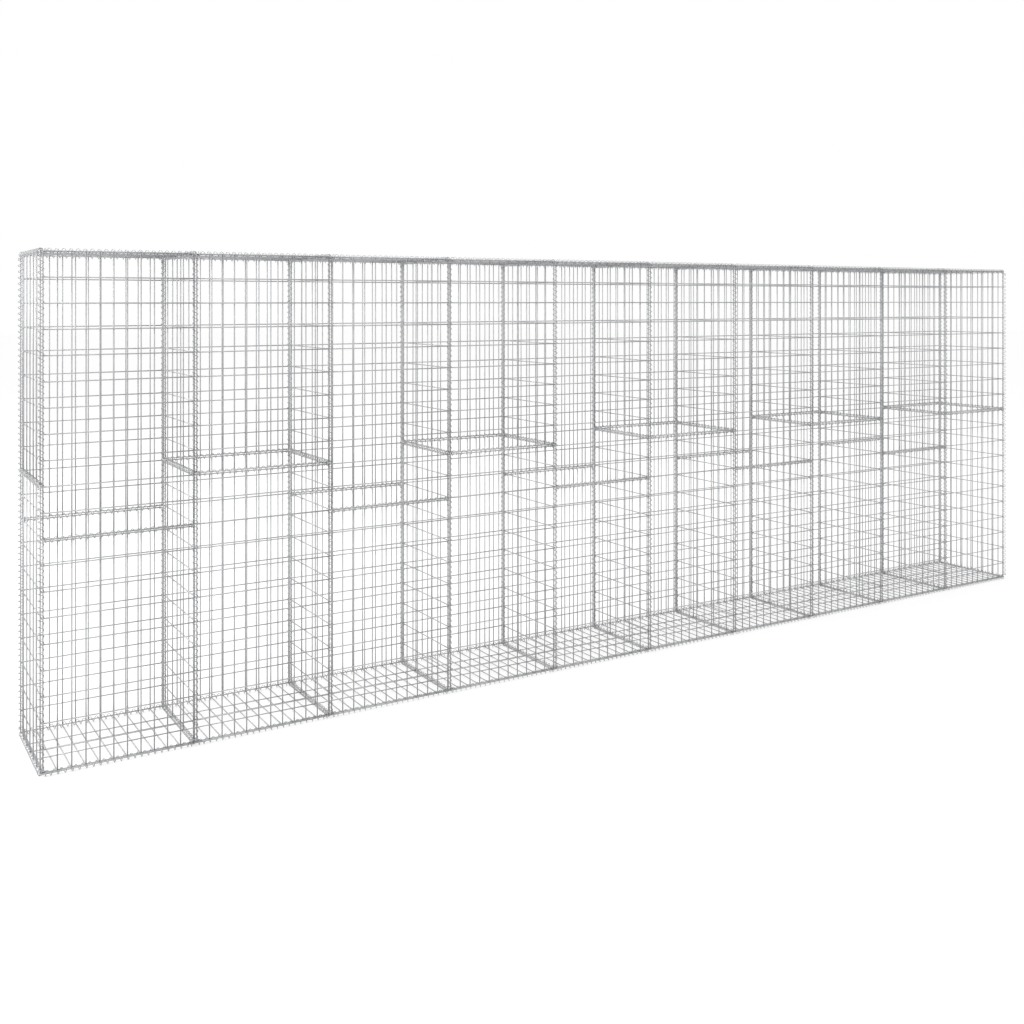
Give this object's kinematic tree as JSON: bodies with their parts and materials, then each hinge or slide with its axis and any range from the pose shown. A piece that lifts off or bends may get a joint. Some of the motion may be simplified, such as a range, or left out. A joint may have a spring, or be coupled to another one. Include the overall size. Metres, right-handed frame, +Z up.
{
  "type": "gabion wall",
  "caption": "Free-standing row of empty welded-mesh gabion baskets, laced along every edge and seam with spiral wire binders.",
  "frame": {"origin": "on the ground, in the middle of the wall's length and depth", "axes": "+X along the wall, -Y out of the front mesh, +Z up"},
  "size_m": [5.904, 0.517, 2.017],
  "materials": {
    "mesh_wire": "hot-dip galvanised welded wire, satin light grey",
    "binder_wire": "galvanised spiral wire, satin light grey"
  },
  "bodies": {
    "root": {"front_mesh_bay_01": "mesh_wire", "front_mesh_bay_02": "mesh_wire", "front_mesh_bay_03": "mesh_wire", "front_mesh_bay_04": "mesh_wire", "front_mesh_bay_05": "mesh_wire", "front_mesh_bay_06": "mesh_wire", "front_mesh_bay_07": "mesh_wire", "front_mesh_bay_08": "mesh_wire", "front_mesh_bay_09": "mesh_wire", "front_mesh_bay_10": "mesh_wire", "back_mesh_bay_01": "mesh_wire", "back_mesh_bay_02": "mesh_wire", "back_mesh_bay_03": "mesh_wire", "back_mesh_bay_04": "mesh_wire", "back_mesh_bay_05": "mesh_wire", "back_mesh_bay_06": "mesh_wire", "back_mesh_bay_07": "mesh_wire", "back_mesh_bay_08": "mesh_wire", "back_mesh_bay_09": "mesh_wire", "back_mesh_bay_10": "mesh_wire", "left_end_mesh": "mesh_wire", "divider_mesh_01": "mesh_wire", "divider_mesh_02": "mesh_wire", "divider_mesh_03": "mesh_wire", "divider_mesh_04": "mesh_wire", "divider_mesh_05": "mesh_wire", "divider_mesh_06": "mesh_wire", "divider_mesh_07": "mesh_wire", "divider_mesh_08": "mesh_wire", "divider_mesh_09": "mesh_wire", "right_end_mesh": "mesh_wire", "base_mesh_left": "mesh_wire", "base_mesh_right": "mesh_wire", "cover_mesh_left": "mesh_wire", "cover_mesh_right": "mesh_wire", "front_upright_binders": "binder_wire", "back_upright_binders": "binder_wire", "front_base_binders": "binder_wire", "back_base_binders": "binder_wire", "cross_base_binders": "binder_wire", "front_cover_binders": "binder_wire", "back_cover_binders": "binder_wire", "cross_cover_binders": "binder_wire", "front_seam_binders": "binder_wire", "back_seam_binders": "binder_wire", "cross_seam_binders": "binder_wire"}
  },
  "joints": []
}
